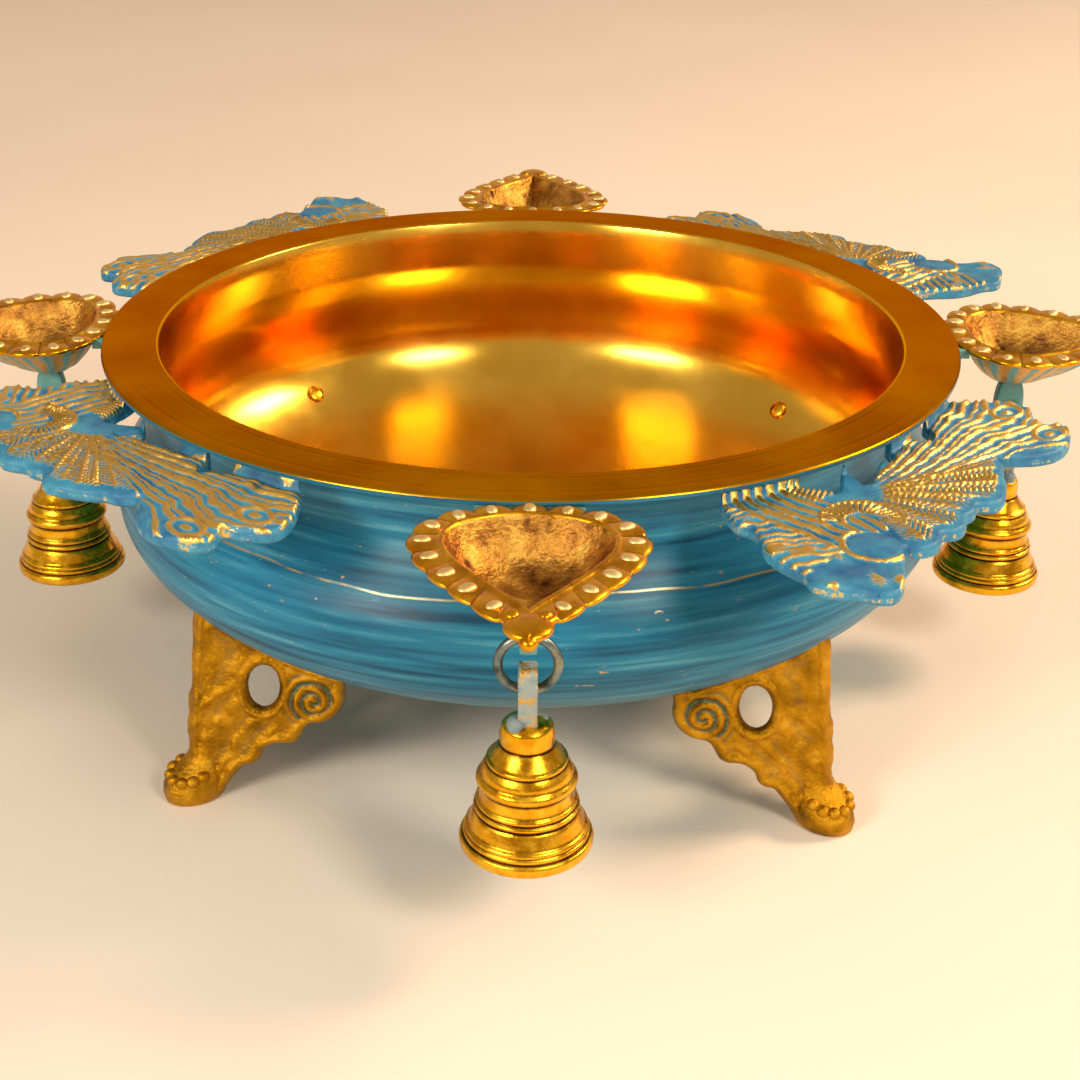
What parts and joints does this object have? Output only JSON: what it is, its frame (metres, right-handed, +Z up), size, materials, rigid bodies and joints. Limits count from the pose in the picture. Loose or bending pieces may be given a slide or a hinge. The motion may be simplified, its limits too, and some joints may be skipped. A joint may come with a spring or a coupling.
{
  "type": "decorative urli bowl",
  "caption": "Turned brass urli bowl on cast openwork feet, with heart-shaped lamp cups, cast peacock brackets and hanging bells round its flat rim.",
  "frame": {"origin": "centre of the bowl's axis on the floor plane under the feet", "axes": "+Z up along the bowl's axis; -Y towards the front lamp cup, +X towards the right lamp cup"},
  "size_m": [0.378, 0.378, 0.112],
  "materials": {
    "turned_brass": "turned and satin polished inside and on the rim, turquoise patina paint outside",
    "cup_brass": "sand cast, gold on the petals, rough inside, turquoise patina paint underneath",
    "patina_brass": "sand cast, turquoise patina paint rubbed back to pale gold on the raised lines",
    "antique_brass": "sand cast, antique gold with blue-green patina in the hollows",
    "bell_brass": "turned and polished, dark in the turned grooves",
    "aged_wire": "drawn wire, dull grey-blue and gold patina"
  },
  "bodies": {
    "root": {"bowl": "turned_brass", "lamp_cup_front": "cup_brass", "lamp_cup_right": "cup_brass", "lamp_cup_back": "cup_brass", "lamp_cup_left": "cup_brass", "peacock_front_right": "patina_brass", "peacock_back_right": "patina_brass", "peacock_back_left": "patina_brass", "peacock_front_left": "patina_brass", "foot_front_right": "antique_brass", "foot_back_right": "antique_brass", "foot_back_left": "antique_brass", "foot_front_left": "antique_brass", "foot_rivets": "bell_brass"},
    "ring_front": {"ring_front": "aged_wire"},
    "bell_front": {"bell_front": "bell_brass", "staple_front": "aged_wire"},
    "clapper_front": {"clapper_front": "aged_wire"},
    "ring_right": {"ring_right": "aged_wire"},
    "bell_right": {"bell_right": "bell_brass", "staple_right": "aged_wire"},
    "clapper_right": {"clapper_right": "aged_wire"},
    "ring_back": {"ring_back": "aged_wire"},
    "bell_back": {"bell_back": "bell_brass", "staple_back": "aged_wire"},
    "clapper_back": {"clapper_back": "aged_wire"},
    "ring_left": {"ring_left": "aged_wire"},
    "bell_left": {"bell_left": "bell_brass", "staple_left": "aged_wire"},
    "clapper_left": {"clapper_left": "aged_wire"}
  },
  "joints": [
    {"name": "ring_front_swing", "type": "hinge", "parent": "root", "child": "ring_front", "pos_m": [0, -0.1449, 0.08665], "axis": [-1, 0, 0], "range_deg": [-18, 55]},
    {"name": "bell_front_sway", "type": "hinge", "parent": "ring_front", "child": "bell_front", "pos_m": [0, -0.1449, 0.0796], "axis": [0, -1, 0], "range_deg": [-30, 30]},
    {"name": "clapper_front_strike", "type": "hinge", "parent": "bell_front", "child": "clapper_front", "pos_m": [0, -0.1449, 0.0533], "axis": [-1, 0, 0], "range_deg": [-20, 20]},
    {"name": "ring_right_swing", "type": "hinge", "parent": "root", "child": "ring_right", "pos_m": [0.1449, 0, 0.08665], "axis": [0, -1, 0], "range_deg": [-18, 55]},
    {"name": "bell_right_sway", "type": "hinge", "parent": "ring_right", "child": "bell_right", "pos_m": [0.1449, 0, 0.0796], "axis": [1, 0, 0], "range_deg": [-30, 30]},
    {"name": "clapper_right_strike", "type": "hinge", "parent": "bell_right", "child": "clapper_right", "pos_m": [0.1449, 0, 0.0533], "axis": [0, -1, 0], "range_deg": [-20, 20]},
    {"name": "ring_back_swing", "type": "hinge", "parent": "root", "child": "ring_back", "pos_m": [0, 0.1449, 0.08665], "axis": [1, 0, 0], "range_deg": [-18, 55]},
    {"name": "bell_back_sway", "type": "hinge", "parent": "ring_back", "child": "bell_back", "pos_m": [0, 0.1449, 0.0796], "axis": [0, 1, 0], "range_deg": [-30, 30]},
    {"name": "clapper_back_strike", "type": "hinge", "parent": "bell_back", "child": "clapper_back", "pos_m": [0, 0.1449, 0.0533], "axis": [1, 0, 0], "range_deg": [-20, 20]},
    {"name": "ring_left_swing", "type": "hinge", "parent": "root", "child": "ring_left", "pos_m": [-0.1449, 0, 0.08665], "axis": [0, 1, 0], "range_deg": [-18, 55]},
    {"name": "bell_left_sway", "type": "hinge", "parent": "ring_left", "child": "bell_left", "pos_m": [-0.1449, 0, 0.0796], "axis": [-1, 0, 0], "range_deg": [-30, 30]},
    {"name": "clapper_left_strike", "type": "hinge", "parent": "bell_left", "child": "clapper_left", "pos_m": [-0.1449, 0, 0.0533], "axis": [0, 1, 0], "range_deg": [-20, 20]}
  ]
}
